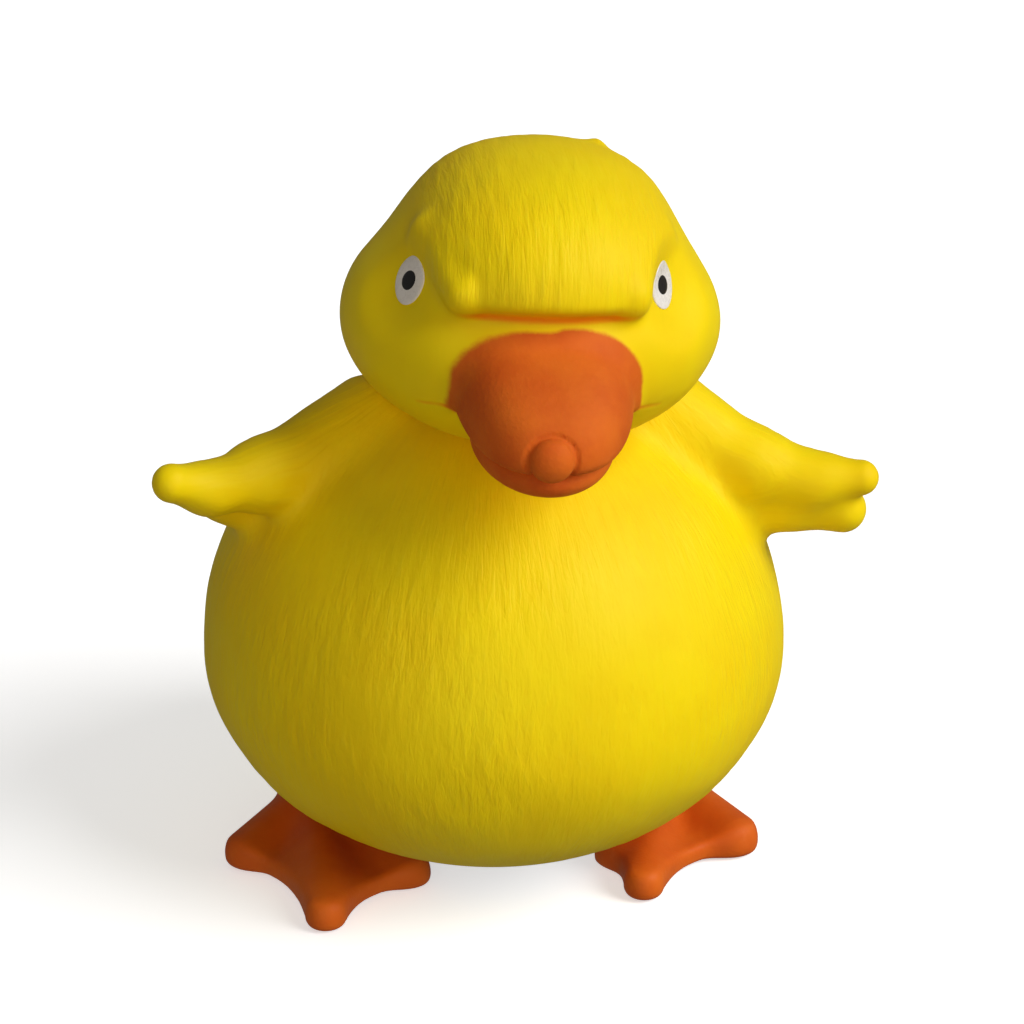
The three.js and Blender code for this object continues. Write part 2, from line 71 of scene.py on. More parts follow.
def duckling_middle():
    """The duckling's middle in the model's frame, from the chamber's place."""
    low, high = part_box("tablet_chamber")
    return np.array([(low.x + high.x) / 2, (low.y + high.y) / 2 - AXIS_Y * MM, 0.0])


MIDDLE = duckling_middle()

# torso: an ellipsoid, shallower below its middle than above, cut flat under the belly
TORSO = {"y": 4, "z": 80, "width": 102.5, "depth": 102, "above": 100, "below": 75}
BELLY_FLAT = 18.8
BELLY_EDGE = 1.5  # how softly the belly turns into its flat
WALL = 3
TAIL = {"start": (0, 86, 96), "end": (0, 111.3, 120), "radii": (26, 9), "blend": 26}

# wings: two lobes each, as chains of (x, y, z, radius); x is measured outwards
LEFT_WING = [
    [(50, -6, 168, 18), (88, -21, 149, 11), (106, -27, 145, 8), (121.4, -32, 147, 6)],
    [(72, -8, 139, 14), (98, -18, 135, 9.5), (117, -26, 133.5, 8.2)],
]
RIGHT_WING = [
    [(43, -4, 163.5, 18), (82, -24, 155.5, 10.5), (99, -35, 156.5, 7.2), (111.5, -43, 162, 6.5)],
    [(75, -2, 145, 14), (91, -9, 145, 10), (104, -18, 151, 7)],
]
WING_BLEND = 10  # where a wing grows out of the torso
JOINT_BLEND = 9  # between two lengths of one lobe
LOBE_BLEND = 5  # between the two lobes

# head: measured in its own frame, x outwards from its middle plane
HEAD = {"at": (8, -32, 213), "roll": 2.7, "yaw": -2.5}
CHEEKS = {"centre": (0, 4, -4), "radii": (62.5, 57, 41.5)}
CROWN = {"centre": (1.5, 6, 14.5), "radii": (46.5, 48, 39), "power": 2.25}
FOREHEAD = {"centre": (1, -13.2, 17), "radii": (46, 44, 33)}
BROW = {"z": 12.3, "rise": 0.15, "front": -40, "half_width": 31, "lean": 0.5}
BROW_CREASE = {"below": 0.6, "front": -50, "fall": 0.35, "width": (2.0, 0.3)}
BROW_CREASE |= {"ends": (31, 20), "back": (-40, -46)}
RIDGE = {"start": (26.2, -44.4, 18.2), "end": (36, -18, 29.8), "radii": (6.7, 5.6)}
EYE = {"facing": (0.85, -0.52, 0.1), "radii": (6.3, 7.7), "rise": 0.8, "lean": 20}
PUPIL = {"radii": (3.6, 3.7), "rise": 1.05}
EYE_PLACES = {1: (37, -29, 17.3), -1: (-42.8, -26, 16.4)}
SOCKET = {"radius": 14, "depth": 10, "clear": 2.2}
BILL = {"centre": (0, -46, -18.5), "radii": (29.5, 37, 23.5), "pitch": 24, "power": 2.7}
BILL_TAPER = {"start": -40, "share": 0.005}
CHIN = {"centre": (0, -46, -28), "radii": (23, 32.5, 11), "pitch": 10}
LIP = {"height": -22, "fall": 0.24, "y": -50}
MOUTH = {"start": (28, -45, -20), "end": (39.5, -34.5, -21.5), "radii": (1.5, 0.8)}
NUB = {"start": (18.5, 20, 46), "end": (21, 22, 48.6), "radii": (3.5, 1.7)}
NAIL = {"centre": (-1, -81.3, -23), "radii": (7, 4.5, 7)}
NAIL_GROOVE = {"width": 1.4, "depth": 0.7}
# how softly each feature of the head runs into the rest
FACE_BLEND = {"crown": 10, "edge": 4, "flank": 6, "ridge": 3, "forehead": 5, "socket": 10}
FACE_BLEND |= {"nub": 5, "mouth": 0.8}
BILL_BLEND = {"lip": 5, "chin": 2, "groove": 0.8, "nail": 0.5, "face": 5}
HEAD_WALL = 4.5
NECK = {"x": 6, "y": -14, "radius": 22, "bore": 19, "bottom": 160, "top": 190, "margin": 10}

# feet: heel and three toes seen from above as (x, y, radius); x is measured outwards
FEET = {
    "foot_left": {
        "side": 1,
        "heel": (61, 26),
        "toes": [(84, -20, 8), (46, -47.5, 5.6), (39, -24, 5)],
    },
    "foot_right": {
        "side": -1,
        "heel": (63, 26),
        "toes": [(91, -6, 6), (66, -53, 5.8), (34, -28, 5.5)],
    },
}
HEEL = {"z": 9, "radius": 9}
TOE_Z = 4.8
WEB = {"z": 3.9, "half": 3.9, "bite": 1.3, "spread": 3.5, "edge": 3}
ANKLE_TOP = 30
FOOT_BLEND = {"toe": 10, "ankle": 6, "torso": 0.6, "lid": 1.5, "sole": 3}
# the lid's way down, which the feet keep clear of
LID_PATH = {"radius": 44.2, "flange": 55, "above": 13.3}
PEG = {"x": 67, "y": 26, "radius": 5}
THROAT_HOLE = 47.1
SCREWS = {"count": 6, "circle": 50.2, "hole": 1.9, "bottom": 10, "top": 30}
VENT = {"height": 0.72, "hole": 6}


def smooth_min(a, b, blend):
    near = np.maximum(blend - np.abs(a - b), 0) / blend
    return np.minimum(a, b) - near * near * blend / 4


def smooth_max(a, b, blend):
    return -smooth_min(-a, -b, blend)


def turn(x=0, y=0, z=0):
    """Rotation matrix for angles in degrees, about X first and Z last."""
    (cx, sx), (cy, sy), (cz, sz) = (
        (math.cos(math.radians(a)), math.sin(math.radians(a))) for a in (x, y, z)
    )
    about_x = np.array([[1, 0, 0], [0, cx, -sx], [0, sx, cx]])
    about_y = np.array([[cy, 0, sy], [0, 1, 0], [-sy, 0, cy]])
    about_z = np.array([[cz, -sz, 0], [sz, cz, 0], [0, 0, 1]])
    return about_z @ about_y @ about_x


def ellipsoid(p, centre, radii, pitch=0, power=2):
    """Distance-like field of an ellipsoid, negative inside; a power above 2 squares it off."""
    q = (p - np.array(centre, float)) @ turn(x=pitch)
    r = np.array(radii, float)
    share = np.maximum(np.abs(q) / r, 1e-9)
    near = (share**power).sum(-1) ** (1 / power)
    slope = near ** (1 - power) * np.linalg.norm(share ** (power - 1) / r, axis=-1)
    return (near - 1) / np.maximum(slope, 1e-9)


def rod(p, start, end, radii):
    """A rod with round ends of two radii."""
    a = np.array(start, float)
    along = np.array(end, float) - a
    share = np.clip((p - a) @ along / (along @ along), 0, 1)
    reach = np.linalg.norm(p - a - share[..., None] * along, axis=-1)
    return reach - (radii[0] + (radii[1] - radii[0]) * share)


def mirrored(p, side=None):
    """Both sides folded onto +X, or the -X side turned over when side is -1."""
    q = p.copy()
    q[..., 0] = np.abs(p[..., 0]) if side is None else p[..., 0] * side
    return q


def torso(p):
    """Distance-like field of the torso, which is shallower below its middle than above."""
    z = p[..., 2] - TORSO["z"]
    height = np.where(z > 0, TORSO["above"], TORSO["below"])
    x = p[..., 0] / TORSO["width"]
    y = (p[..., 1] - TORSO["y"]) / TORSO["depth"]
    near = np.sqrt(x**2 + y**2 + (z / height) ** 2)
    slope = np.sqrt(
        (x / TORSO["width"]) ** 2 + (y / TORSO["depth"]) ** 2 + (z / height**2) ** 2
    )
    return near * (near - 1) / np.maximum(slope, 1e-9)


def wing(p, side):
    """One wing: two lobes, each a chain of rods."""
    q = mirrored(p, side)
    lobes = []
    for lobe in LEFT_WING if side > 0 else RIGHT_WING:
        lengths = [
            rod(q, a[:3], b[:3], (a[3], b[3])) for a, b in zip(lobe, lobe[1:])
        ]
        lobes.append(reduce(lambda a, b: smooth_min(a, b, JOINT_BLEND), lengths))
    return smooth_min(*lobes, LOBE_BLEND)


def body_field(p):
    """The outside of the torso with its wings and tail."""
    d = smooth_min(torso(p), rod(p, TAIL["start"], TAIL["end"], TAIL["radii"]), TAIL["blend"])
    for side in (1, -1):
        d = smooth_min(d, wing(p, side), WING_BLEND)
    return smooth_max(d, BELLY_FLAT - p[..., 2], BELLY_EDGE)


HEAD_TURN = turn(y=HEAD["roll"], z=HEAD["yaw"])


def in_head(p):
    return (p - np.array(HEAD["at"], float)) @ HEAD_TURN


def out_of_head(q):
    return np.asarray(q, float) @ HEAD_TURN.T + np.array(HEAD["at"], float)


def eye_facing(side):
    facing = np.array(EYE["facing"]) * np.array([side, 1, 1])
    return facing / np.linalg.norm(facing)


def eye_frame(side):
    """Place of an eye and the unit direction it faces, in the duckling's frame."""
    return out_of_head(EYE_PLACES[side]), eye_facing(side) @ HEAD_TURN.T


def eye_socket(q, side):
    """A shallow dish, open the way the eye faces."""
    facing = eye_facing(side)
    middle = np.array(EYE_PLACES[side]) + facing * (SOCKET["depth"] + SOCKET["clear"])
    along = (q - middle) @ facing
    across = np.linalg.norm(q - middle - along[..., None] * facing, axis=-1)
    near = np.hypot(across / SOCKET["radius"], along / SOCKET["depth"])
    slope = np.hypot(across / SOCKET["radius"] ** 2, along / SOCKET["depth"] ** 2)
    return near * (near - 1) / np.maximum(slope, 1e-9)


def face_field(q):
    """Cheeks, crown and the forehead that overhangs the eyes, in the head's own frame."""
    m = mirrored(q)
    d = smooth_min(ellipsoid(q, **CHEEKS), ellipsoid(q, **CROWN), FACE_BLEND["crown"])
    forehead = ellipsoid(q, **FOREHEAD)
    edge = BROW["z"] + BROW["rise"] * np.maximum(BROW["front"] - q[..., 1], 0)
    forehead = smooth_max(forehead, edge - q[..., 2], FACE_BLEND["edge"])
    flank = m[..., 0] - BROW["half_width"] - BROW["lean"] * (q[..., 2] - BROW["z"])
    forehead = smooth_max(forehead, flank, FACE_BLEND["flank"])
    forehead = smooth_min(forehead, rod(m, **RIDGE), FACE_BLEND["ridge"])
    d = smooth_min(d, forehead, FACE_BLEND["forehead"])
    for side in EYE_PLACES:
        d = smooth_max(d, -eye_socket(q, side), FACE_BLEND["socket"])
    d = smooth_min(d, rod(q, **NUB), FACE_BLEND["nub"])
    return smooth_max(d, -rod(m, **MOUTH), FACE_BLEND["mouth"])


def bill_field(q):
    """Both halves of the bill and its nail, in the head's own frame."""
    slim = q.copy()
    narrow = 1 - BILL_TAPER["share"] * np.maximum(BILL_TAPER["start"] - q[..., 1], 0)
    slim[..., 0] = q[..., 0] / narrow
    upper = ellipsoid(slim, **BILL)
    lip = LIP["height"] + LIP["fall"] * (q[..., 1] - LIP["y"])
    upper = smooth_max(upper, lip - q[..., 2], BILL_BLEND["lip"])
    d = smooth_min(upper, ellipsoid(q, **CHIN), BILL_BLEND["chin"])
    nail = ellipsoid(q, **NAIL)
    groove = np.maximum(nail - NAIL_GROOVE["width"], -d - NAIL_GROOVE["depth"])
    d = smooth_max(d, -groove, BILL_BLEND["groove"])
    return smooth_min(d, nail, BILL_BLEND["nail"])


def head_field(p):
    q = in_head(p)
    return smooth_min(face_field(q), bill_field(q), BILL_BLEND["face"])


def flat_distance(x, y, corners):
    """Signed distance from a convex outline, its corners counter-clockwise."""
    sides, reaches = [], []
    for (ax, ay), (bx, by) in zip(corners, corners[1:] + corners[:1]):
        dx, dy = bx - ax, by - ay
        length = math.hypot(dx, dy)
        sides.append(((x - ax) * dy - (y - ay) * dx) / length)
        along = np.clip(((x - ax) * dx + (y - ay) * dy) / length**2, 0, 1)
        reaches.append(np.hypot(x - ax - along * dx, y - ay - along * dy))
    inside = reduce(np.maximum, sides)
    return np.where(inside > 0, reduce(np.minimum, reaches), inside)


def foot_web(q, heel, toes):
    """The skin between the toes, bitten in between each two tips."""
    web = None
    for (ax, ay, _), (bx, by, _) in zip(toes, toes[1:]):
        corners = [heel, (bx, by), (ax, ay)]
        area = (bx - heel[0]) * (ay - heel[1]) - (by - heel[1]) * (ax - heel[0])
        if area < 0:
            corners = corners[::-1]
        part = flat_distance(q[..., 0], q[..., 1], corners)
        middle = np.array([(ax + bx) / 2, (ay + by) / 2])
        span = math.hypot(bx - ax, by - ay)
        out = np.array([by - ay, ax - bx]) / span
        out *= np.sign(out @ (middle - np.array(heel)))
        bite = middle + out * span * WEB["bite"]
        radius = span * math.hypot(WEB["bite"], 0.5)
        hollow = radius - np.hypot(q[..., 0] - bite[0], q[..., 1] - bite[1])
        part = smooth_max(part, hollow, WEB["edge"])
        web = part if web is None else np.minimum(web, part)
    return web


def foot_field(p, side, heel, toes):
    """A webbed foot, kept clear of the torso and of the lid's way down."""
    q = mirrored(p, side)
    web = foot_web(q, heel, toes)
    slab = np.abs(q[..., 2] - WEB["z"]) - WEB["half"]
    d = smooth_max(web - WEB["spread"], slab, WEB["edge"])
    heel_at = (*heel, HEEL["z"])
    for x, y, radius in toes:
        toe = rod(q, heel_at, (x, y, TOE_Z), (HEEL["radius"], radius))
        d = smooth_min(d, toe, FOOT_BLEND["toe"])
    ankle_at = (PEG["x"], PEG["y"], ANKLE_TOP)
    ankle = rod(q, heel_at, ankle_at, (HEEL["radius"], HEEL["radius"]))
    d = smooth_min(d, ankle, FOOT_BLEND["ankle"])
    d = smooth_max(d, GAP - torso(p), FOOT_BLEND["torso"])
    radius = np.hypot(p[..., 0], p[..., 1] - AXIS_Y)
    d = smooth_max(d, LID_PATH["radius"] - radius, FOOT_BLEND["lid"])
    d = np.maximum(d, np.minimum(LID_PATH["flange"] - radius, p[..., 2] - LID_PATH["above"]))
    return smooth_max(d, -p[..., 2], FOOT_BLEND["sole"])


# ---- meshes ----
def row(points):
    """Millimetres from the duckling's middle, as metres in the model's frame."""
    return np.asarray(points, float) * MM + MIDDLE


def slope_of(field, points, step=0.2):
    """Outward slope of a field at each point, by central differences."""
    slopes = np.empty_like(points)
    for axis in range(3):
        offset = np.zeros(3)
        offset[axis] = step
        slopes[:, axis] = (field(points + offset) - field(points - offset)) / (2 * step)
    return slopes


def outward(field, points):
    """The slope as a unit direction."""
    slopes = slope_of(field, points)
    return slopes / np.linalg.norm(slopes, axis=1)[:, None]


def surface(field, low, high, voxel):
    """Points and four-sided faces on a field's zero surface, the points moved right onto it."""
    axes = [np.arange(a - 2 * voxel, b + 3 * voxel, voxel) for a, b in zip(low, high)]
    samples = np.empty([len(axis) for axis in axes], np.float32)
    y, z = np.meshgrid(axes[1], axes[2], indexing="ij")
    slab = np.empty((*y.shape, 3))
    slab[..., 1], slab[..., 2] = y, z
    for i, x in enumerate(axes[0]):
        slab[..., 0] = x
        samples[i] = field(slab)
    band = 3 * voxel
    grid = openvdb.FloatGrid(background=band)
    grid.copyFromArray(np.clip(samples, -band, band))
    points, quads = grid.convertToQuads()
    points = points.astype(float) * voxel + [axis[0] for axis in axes]
    for _ in range(3):
        slopes = slope_of(field, points)
        steep = np.maximum((slopes**2).sum(1), 0.1)
        step = np.clip(field(points) / steep, -voxel, voxel)
        points -= step[:, None] * slopes
    return points, quads[:, ::-1]


def make_object(name, points, faces, smooth=True):
    """An object in the model's frame from points in millimetres."""
    mesh = bpy.data.meshes.new(name)
    mesh.from_pydata(row(points).tolist(), [], [list(face) for face in faces])
    mesh.validate()
    mesh.polygons.foreach_set("use_smooth", [smooth] * len(mesh.polygons))
    made = bpy.data.objects.new(name, mesh)
    bpy.context.scene.collection.objects.link(made)
    return made


def places_of(made):
    """An object's points in millimetres from the duckling's middle."""
    spots = np.empty(len(made.data.vertices) * 3)
    made.data.vertices.foreach_get("co", spots)
    return (spots.reshape(-1, 3) - MIDDLE) / MM


def store(made, name, values):
    """Keeps one number or one vector for each point, for the materials to read."""
    values = np.asarray(values, np.float32)
    kind = "FLOAT_VECTOR" if values.ndim == 2 else "FLOAT"
    attribute = made.data.attributes.new(name, kind, "POINT")
    attribute.data.foreach_set("vector" if values.ndim == 2 else "value", values.ravel())


def noise_at(spots):
    """Smooth noise from -1 to 1 at each spot, one unit to a wave."""
    return np.array([noise.noise(Vector(spot)) for spot in spots])


def strand_places(points, centre, radius, length):
    """Coordinates that run quickly round an upright axis and slowly along it, in strands."""
    aside = points[:, :2] - np.array(centre)
    aside /= np.maximum(np.linalg.norm(aside, axis=1), 1e-6)[:, None]
    return np.column_stack([aside * radius, points[:, 2] / length])


def ramp(value, start, end):
    """0 at start to 1 at end, with soft ends."""
    share = np.clip((value - start) / (end - start), 0, 1)
    return share * share * (3 - 2 * share)


# ---- materials ----
# a noise's scale counts its waves to the metre, or to one unit of the strands' own coordinates
def new_material(name):
    material = bpy.data.materials.new(name)
    material.use_nodes = True
    tree = material.node_tree
    return material, tree, tree.nodes["Principled BSDF"]


def add(tree, kind, inputs=None, **settings):
    """A node with its settings and inputs; an input may be a value or another node's output."""
    made = tree.nodes.new(kind)
    for key, value in settings.items():
        setattr(made, key, value)
    for key, value in (inputs or {}).items():
        if isinstance(value, bpy.types.NodeSocket):
            tree.links.new(value, made.inputs[key])
        else:
            made.inputs[key].default_value = value
    return made


def attribute(tree, name, output="Fac"):
    return add(tree, "ShaderNodeAttribute", attribute_name=name).outputs[output]


def noise_texture(tree, where, scale, detail=3, roughness=0.5, distortion=0.0):
    inputs = {"Vector": where, "Scale": scale, "Detail": detail}
    inputs |= {"Roughness": roughness, "Distortion": distortion}
    return add(tree, "ShaderNodeTexNoise", inputs).outputs["Fac"]


def math_node(tree, operation, a, b=0.0, c=0.0, clamp=False):
    inputs = {0: a, 1: b}
    if operation == "MULTIPLY_ADD":
        inputs[2] = c
    return add(tree, "ShaderNodeMath", inputs, operation=operation, use_clamp=clamp).outputs[0]


def spread(tree, value, low, high, new_low=0.0, new_high=1.0):
    inputs = {"Value": value, 1: low, 2: high, 3: new_low, 4: new_high}
    made = add(tree, "ShaderNodeMapRange", inputs, interpolation_type="SMOOTHSTEP")
    return made.outputs[0]


def blend_colours(tree, share, a, b):
    made = add(tree, "ShaderNodeMix", data_type="RGBA")
    for socket, value in ((0, share), (6, a), (7, b)):
        if isinstance(value, bpy.types.NodeSocket):
            tree.links.new(value, made.inputs[socket])
        else:
            made.inputs[socket].default_value = value
    return made.outputs[2]


def bump(tree, height, distance, strength):
    inputs = {"Height": height, "Distance": distance, "Strength": strength}
    return add(tree, "ShaderNodeBump", inputs).outputs["Normal"]


def colour(*rgb):
    """An sRGB colour of 0 to 255, as the linear one that the nodes take."""
    shares = [value / 255 for value in rgb]
    linear = [c / 12.92 if c <= 0.04045 else ((c + 0.055) / 1.055) ** 2.4 for c in shares]
    return (*linear, 1.0)


YELLOW = colour(251, 222, 4)
# a deeper yellow: the vinyl's own uneven tone, and also the painted shade in the strands' valleys
YELLOW_DEEP_AND_SHADE = colour(243, 196, 2)
# painted highlight on the strands' ridges
YELLOW_HIGHLIGHT = colour(252, 232, 60)
# painted shade for the folds under the forehead and in the mouth
CREASE_SHADE = colour(255, 128, 8)
ORANGE = colour(222, 108, 28)
ORANGE_DEEP = colour(208, 90, 22)


def vinyl_skin(name, painted=False):
    """Satin yellow vinyl with moulded feather strands, finer strands with painted shade in their
    valleys and painted highlight on their ridges, painted shade in the folds, and sprayed orange
    where painted.
    """
    material, tree, shader = new_material(name)
    where = add(tree, "ShaderNodeTexCoord").outputs["Object"]
    strands = attribute(tree, "strands", "Vector")
    relief = attribute(tree, "relief")
    crease_shade = attribute(tree, "crease_shade")
    fine = noise_texture(tree, strands, 1.0, detail=2, distortion=0.55)
    grain = noise_texture(tree, where, 900, detail=2)
    cloud = noise_texture(tree, where, 22, detail=3)
    faded = spread(tree, cloud, 0.3, 0.75, 0, 0.45)
    tint = blend_colours(tree, faded, YELLOW, YELLOW_DEEP_AND_SHADE)
    # painted shade in the valleys of the fine strands, and painted highlight on their ridges
    valley_shade = math_node(tree, "MULTIPLY", spread(tree, fine, 0.5, 0.28), relief)
    tint = blend_colours(tree, math_node(tree, "MULTIPLY", valley_shade, 0.18), tint, YELLOW_DEEP_AND_SHADE)
    ridge = math_node(tree, "MULTIPLY", spread(tree, fine, 0.55, 0.75), relief)
    tint = blend_colours(tree, math_node(tree, "MULTIPLY", ridge, 0.12), tint, YELLOW_HIGHLIGHT)
    # painted shade: the folds under the forehead and in the mouth turn orange-brown
    tint = blend_colours(tree, crease_shade, tint, CREASE_SHADE)
    rough = spread(tree, cloud, 0.3, 0.7, 0.5, 0.6)
    lines = math_node(tree, "MULTIPLY", fine, relief)
    height = math_node(tree, "MULTIPLY_ADD", grain, 0.08, lines)
    if painted:
        edge = attribute(tree, "paint")
        spray = noise_texture(tree, where, 260, detail=4, roughness=0.7)
        edge = math_node(tree, "ADD", edge, math_node(tree, "MULTIPLY_ADD", spray, 0.7, -0.35))
        share = spread(tree, edge, -0.5, 0.5)
        patch = noise_texture(tree, where, 60, detail=4)
        orange = blend_colours(tree, spread(tree, patch, 0.3, 0.75), ORANGE, ORANGE_DEEP)
        tint = blend_colours(tree, share, tint, orange)
        rough = math_node(tree, "MULTIPLY_ADD", share, 0.1, rough)
        leather = noise_texture(tree, where, 620, detail=3, roughness=0.6)
        leather = math_node(tree, "MULTIPLY", leather, math_node(tree, "MULTIPLY", share, 0.5))
        height = math_node(tree, "ADD", height, leather)
    tree.links.new(tint, shader.inputs["Base Color"])
    tree.links.new(rough, shader.inputs["Roughness"])
    tree.links.new(bump(tree, height, 0.0005, 0.8), shader.inputs["Normal"])
    shader.inputs["Subsurface Weight"].default_value = 0.12
    shader.inputs["Subsurface Radius"].default_value = (1.0, 0.55, 0.05)
    shader.inputs["Subsurface Scale"].default_value = 0.006
    shader.inputs["Specular IOR Level"].default_value = 0.15
    return material


def orange_vinyl():
    """Matt orange vinyl, a little worn and paler in places."""
    material, tree, shader = new_material("orange_vinyl")
    where = add(tree, "ShaderNodeTexCoord").outputs["Object"]
    cloud = noise_texture(tree, where, 35, detail=4)
    grain = noise_texture(tree, where, 700, detail=3)
    worn = noise_texture(tree, where, 130, detail=5, roughness=0.65)
    tint = blend_colours(tree, spread(tree, cloud, 0.3, 0.72), ORANGE, ORANGE_DEEP)
    tint = blend_colours(tree, spread(tree, worn, 0.58, 0.8, 0, 0.35), tint, colour(226, 120, 62))
    tree.links.new(tint, shader.inputs["Base Color"])
    tree.links.new(spread(tree, worn, 0.3, 0.8, 0.48, 0.6), shader.inputs["Roughness"])
    tree.links.new(bump(tree, grain, 0.0002, 0.6), shader.inputs["Normal"])
    shader.inputs["Specular IOR Level"].default_value = 0.15
    shader.inputs["Subsurface Weight"].default_value = 0.08
    shader.inputs["Subsurface Radius"].default_value = (1.0, 0.35, 0.1)
    shader.inputs["Subsurface Scale"].default_value = 0.004
    return material


def plastic(name, base, other, roughness, metallic=0.0):
    """A moulded or machined finish: two close colours, a grain and varied roughness."""
    material, tree, shader = new_material(name)
    where = add(tree, "ShaderNodeTexCoord").outputs["Object"]
    cloud = noise_texture(tree, where, 55, detail=4)
    grain = noise_texture(tree, where, 650, detail=3)
    tint = blend_colours(tree, spread(tree, cloud, 0.32, 0.7), base, other)
    tree.links.new(tint, shader.inputs["Base Color"])
    rough = spread(tree, grain, 0.3, 0.7, roughness - 0.06, roughness + 0.06)
    tree.links.new(rough, shader.inputs["Roughness"])
    tree.links.new(bump(tree, grain, 0.0001, 0.6), shader.inputs["Normal"])
    shader.inputs["Metallic"].default_value = metallic
    return material


# ---- the duckling ----
# corners of the room searched for each surface, in millimetres
BODY_ROOM = [(-124, -106, 16), (132, 126, 186)]
BODY_INNER_ROOM = [(-103, -102, 18), (103, 108, 182)]
HEAD_ROOM = [(-66, -136, 158), (82, 44, 270)]
HEAD_INNER_ROOM = [(-62, -122, 166), (76, 36, 264)]
BODY_STEP = 1.35
HEAD_STEP = 0.85
FOOT_STEP = 1.0
BODY_INNER_STEP = 4
HEAD_INNER_STEP = 2.5
FOOT_ROOM = [(14, -66, -2), (104, 40, 42)]  # x is measured outwards
# the moulded unevenness: broad dents, and strands that run down the body and over the forehead
BODY_DENTS = {"size": 26, "height": 0.55}
BODY_STRANDS = {"width": 3.2, "length": 12, "height": 0.26}
HEAD_DENTS = {"size": 17, "height": 0.3}
HEAD_STRANDS = {"width": 2.6, "length": 15, "height": 0.28}
STRAND_RADIUS = 100  # the radius at which the body's strands have their stated width
DENTS_START = (1, 9)  # heights above the belly's flat over which the unevenness sets in
# the finer strands that the material draws between the moulded ones, as bumps with painted shade
# in their valleys and painted highlight on their ridges
BODY_FINE = {"width": 1.4, "length": 6}
HEAD_FINE = {"width": 1.2, "length": 10}
# where strands show, each pair running from no strands to full ones
BODY_RELIEF = {"wings": (112, 88), "on_wings": 0.25, "patch": 34, "mean": 0.75, "vary": 0.5}
BODY_RELIEF |= {"least": 0.3}
HEAD_RELIEF = {"front": (12, 22), "sides": (46, 32), "top": (54, 40), "on_top": 0.3}
HEAD_RELIEF |= {"least": 0.1, "more": 0.8}
# the bill's paint: it hides the strands, and has an edge that is soft and lies past the bill
PAINT = {"hides": (0, 2), "soft": 1.5, "softer": 1.6, "right": (5, 25)}
PAINT |= {"reach": 0.8, "higher": 1.6, "upper": (-14, -4), "further": 0.9, "left": (1, 5)}
# how strongly the painted shade darkens the folds
CREASE_SHADE_SHARE = 0.8
MOUTH_CREASE = (0.5, -0.3)  # the shade sets in over these distances from the mouth's groove
SEAT_BLEND = {"torso": 0.8, "rim": 1, "neck": 0.5}
INNER_BLEND = 1
REACH = 9  # how far a cutter reaches past the body's skin, each way
BUTTON = {"rings": 12, "sides": 72, "edge": 0.1, "power": 4, "start": 3}


def body_skin():
    """The torso, wings and tail, hollow, with dents and strands moulded into them."""
    points, faces = surface(body_field, *BODY_ROOM, BODY_STEP)
    out = outward(body_field, points)
    dents = noise_at(points / BODY_DENTS["size"]) * BODY_DENTS["height"]
    broad = noise_at(body_strands(points, BODY_STRANDS))
    lines = broad * BODY_STRANDS["height"] * body_relief(points)
    keep = ramp(points[:, 2], *(BELLY_FLAT + height for height in DENTS_START))
    points = points + out * ((dents + lines) * keep)[:, None]
    inner = surface(body_inside, *BODY_INNER_ROOM, BODY_INNER_STEP)
    return make_object("body_skin", *hollowed(points, faces, *inner))


def body_strands(points, strands):
    """Where each point lies among strands that run down the body."""
    radius = STRAND_RADIUS / strands["width"]
    return strand_places(points, (0, TORSO["y"]), radius, strands["length"])


def head_strands(q, strands):
    """Where each point lies among strands that run back over the forehead."""
    width, length = strands["width"], strands["length"]
    return np.column_stack([q[:, 0] / width, q[:, 1] / length, q[:, 2] / length])


def body_relief(points):
    """Where the moulded feather strands show: strong on the belly, faint on the wings."""
    wings = ramp(np.abs(points[:, 0]), *BODY_RELIEF["wings"])
    offset = 7  # keeps the patches apart from the dents
    patches = noise_at(points / BODY_RELIEF["patch"] + offset)
    patches = BODY_RELIEF["mean"] + BODY_RELIEF["vary"] * patches
    faint = BODY_RELIEF["on_wings"]
    return np.clip(patches, BODY_RELIEF["least"], 1) * (faint + (1 - faint) * wings)


def head_relief(q):
    """Strands show on the forehead and the crown, and fade over the cheeks."""
    front = ramp(q[:, 2], *HEAD_RELIEF["front"])
    sides = ramp(np.abs(q[:, 0]), *HEAD_RELIEF["sides"])
    faint = HEAD_RELIEF["on_top"]
    top = faint + (1 - faint) * ramp(q[:, 2], *HEAD_RELIEF["top"])
    return np.clip(HEAD_RELIEF["least"] + HEAD_RELIEF["more"] * front * sides * top, 0, 1)


def cylinder(name, start, end, radius, sides=96):
    """A closed cutter between two points."""
    start, end = np.array(start, float), np.array(end, float)
    along = (end - start) / np.linalg.norm(end - start)
    first = np.cross(along, [0, 0, 1] if abs(along[2]) < 0.9 else [1, 0, 0])
    first /= np.linalg.norm(first)
    second = np.cross(along, first)
    angles = np.arange(sides) * 2 * math.pi / sides
    rim = np.outer(np.cos(angles), first) + np.outer(np.sin(angles), second)
    points = np.vstack([start + radius * rim, end + radius * rim])
    faces = [[i, (i + 1) % sides, sides + (i + 1) % sides, sides + i] for i in range(sides)]
    faces.append(list(range(sides))[::-1])
    faces.append(list(range(sides, 2 * sides)))
    return make_object(name, points, faces, smooth=False)


def cut_away(made, cutters):
    """Cuts other solids out of an object and removes them."""
    for cutter in cutters:
        how = made.modifiers.new("cut", "BOOLEAN")
        how.operation = "DIFFERENCE"
        how.solver = "EXACT"
        how.object = cutter
    keep_modified(made)
    for cutter in cutters:
        bpy.data.objects.remove(cutter)


def keep_modified(made):
    """Turns an object's modifiers into its own mesh."""
    shown = made.evaluated_get(bpy.context.evaluated_depsgraph_get())
    mesh = bpy.data.meshes.new_from_object(shown)
    made.modifiers.clear()
    made.data = mesh


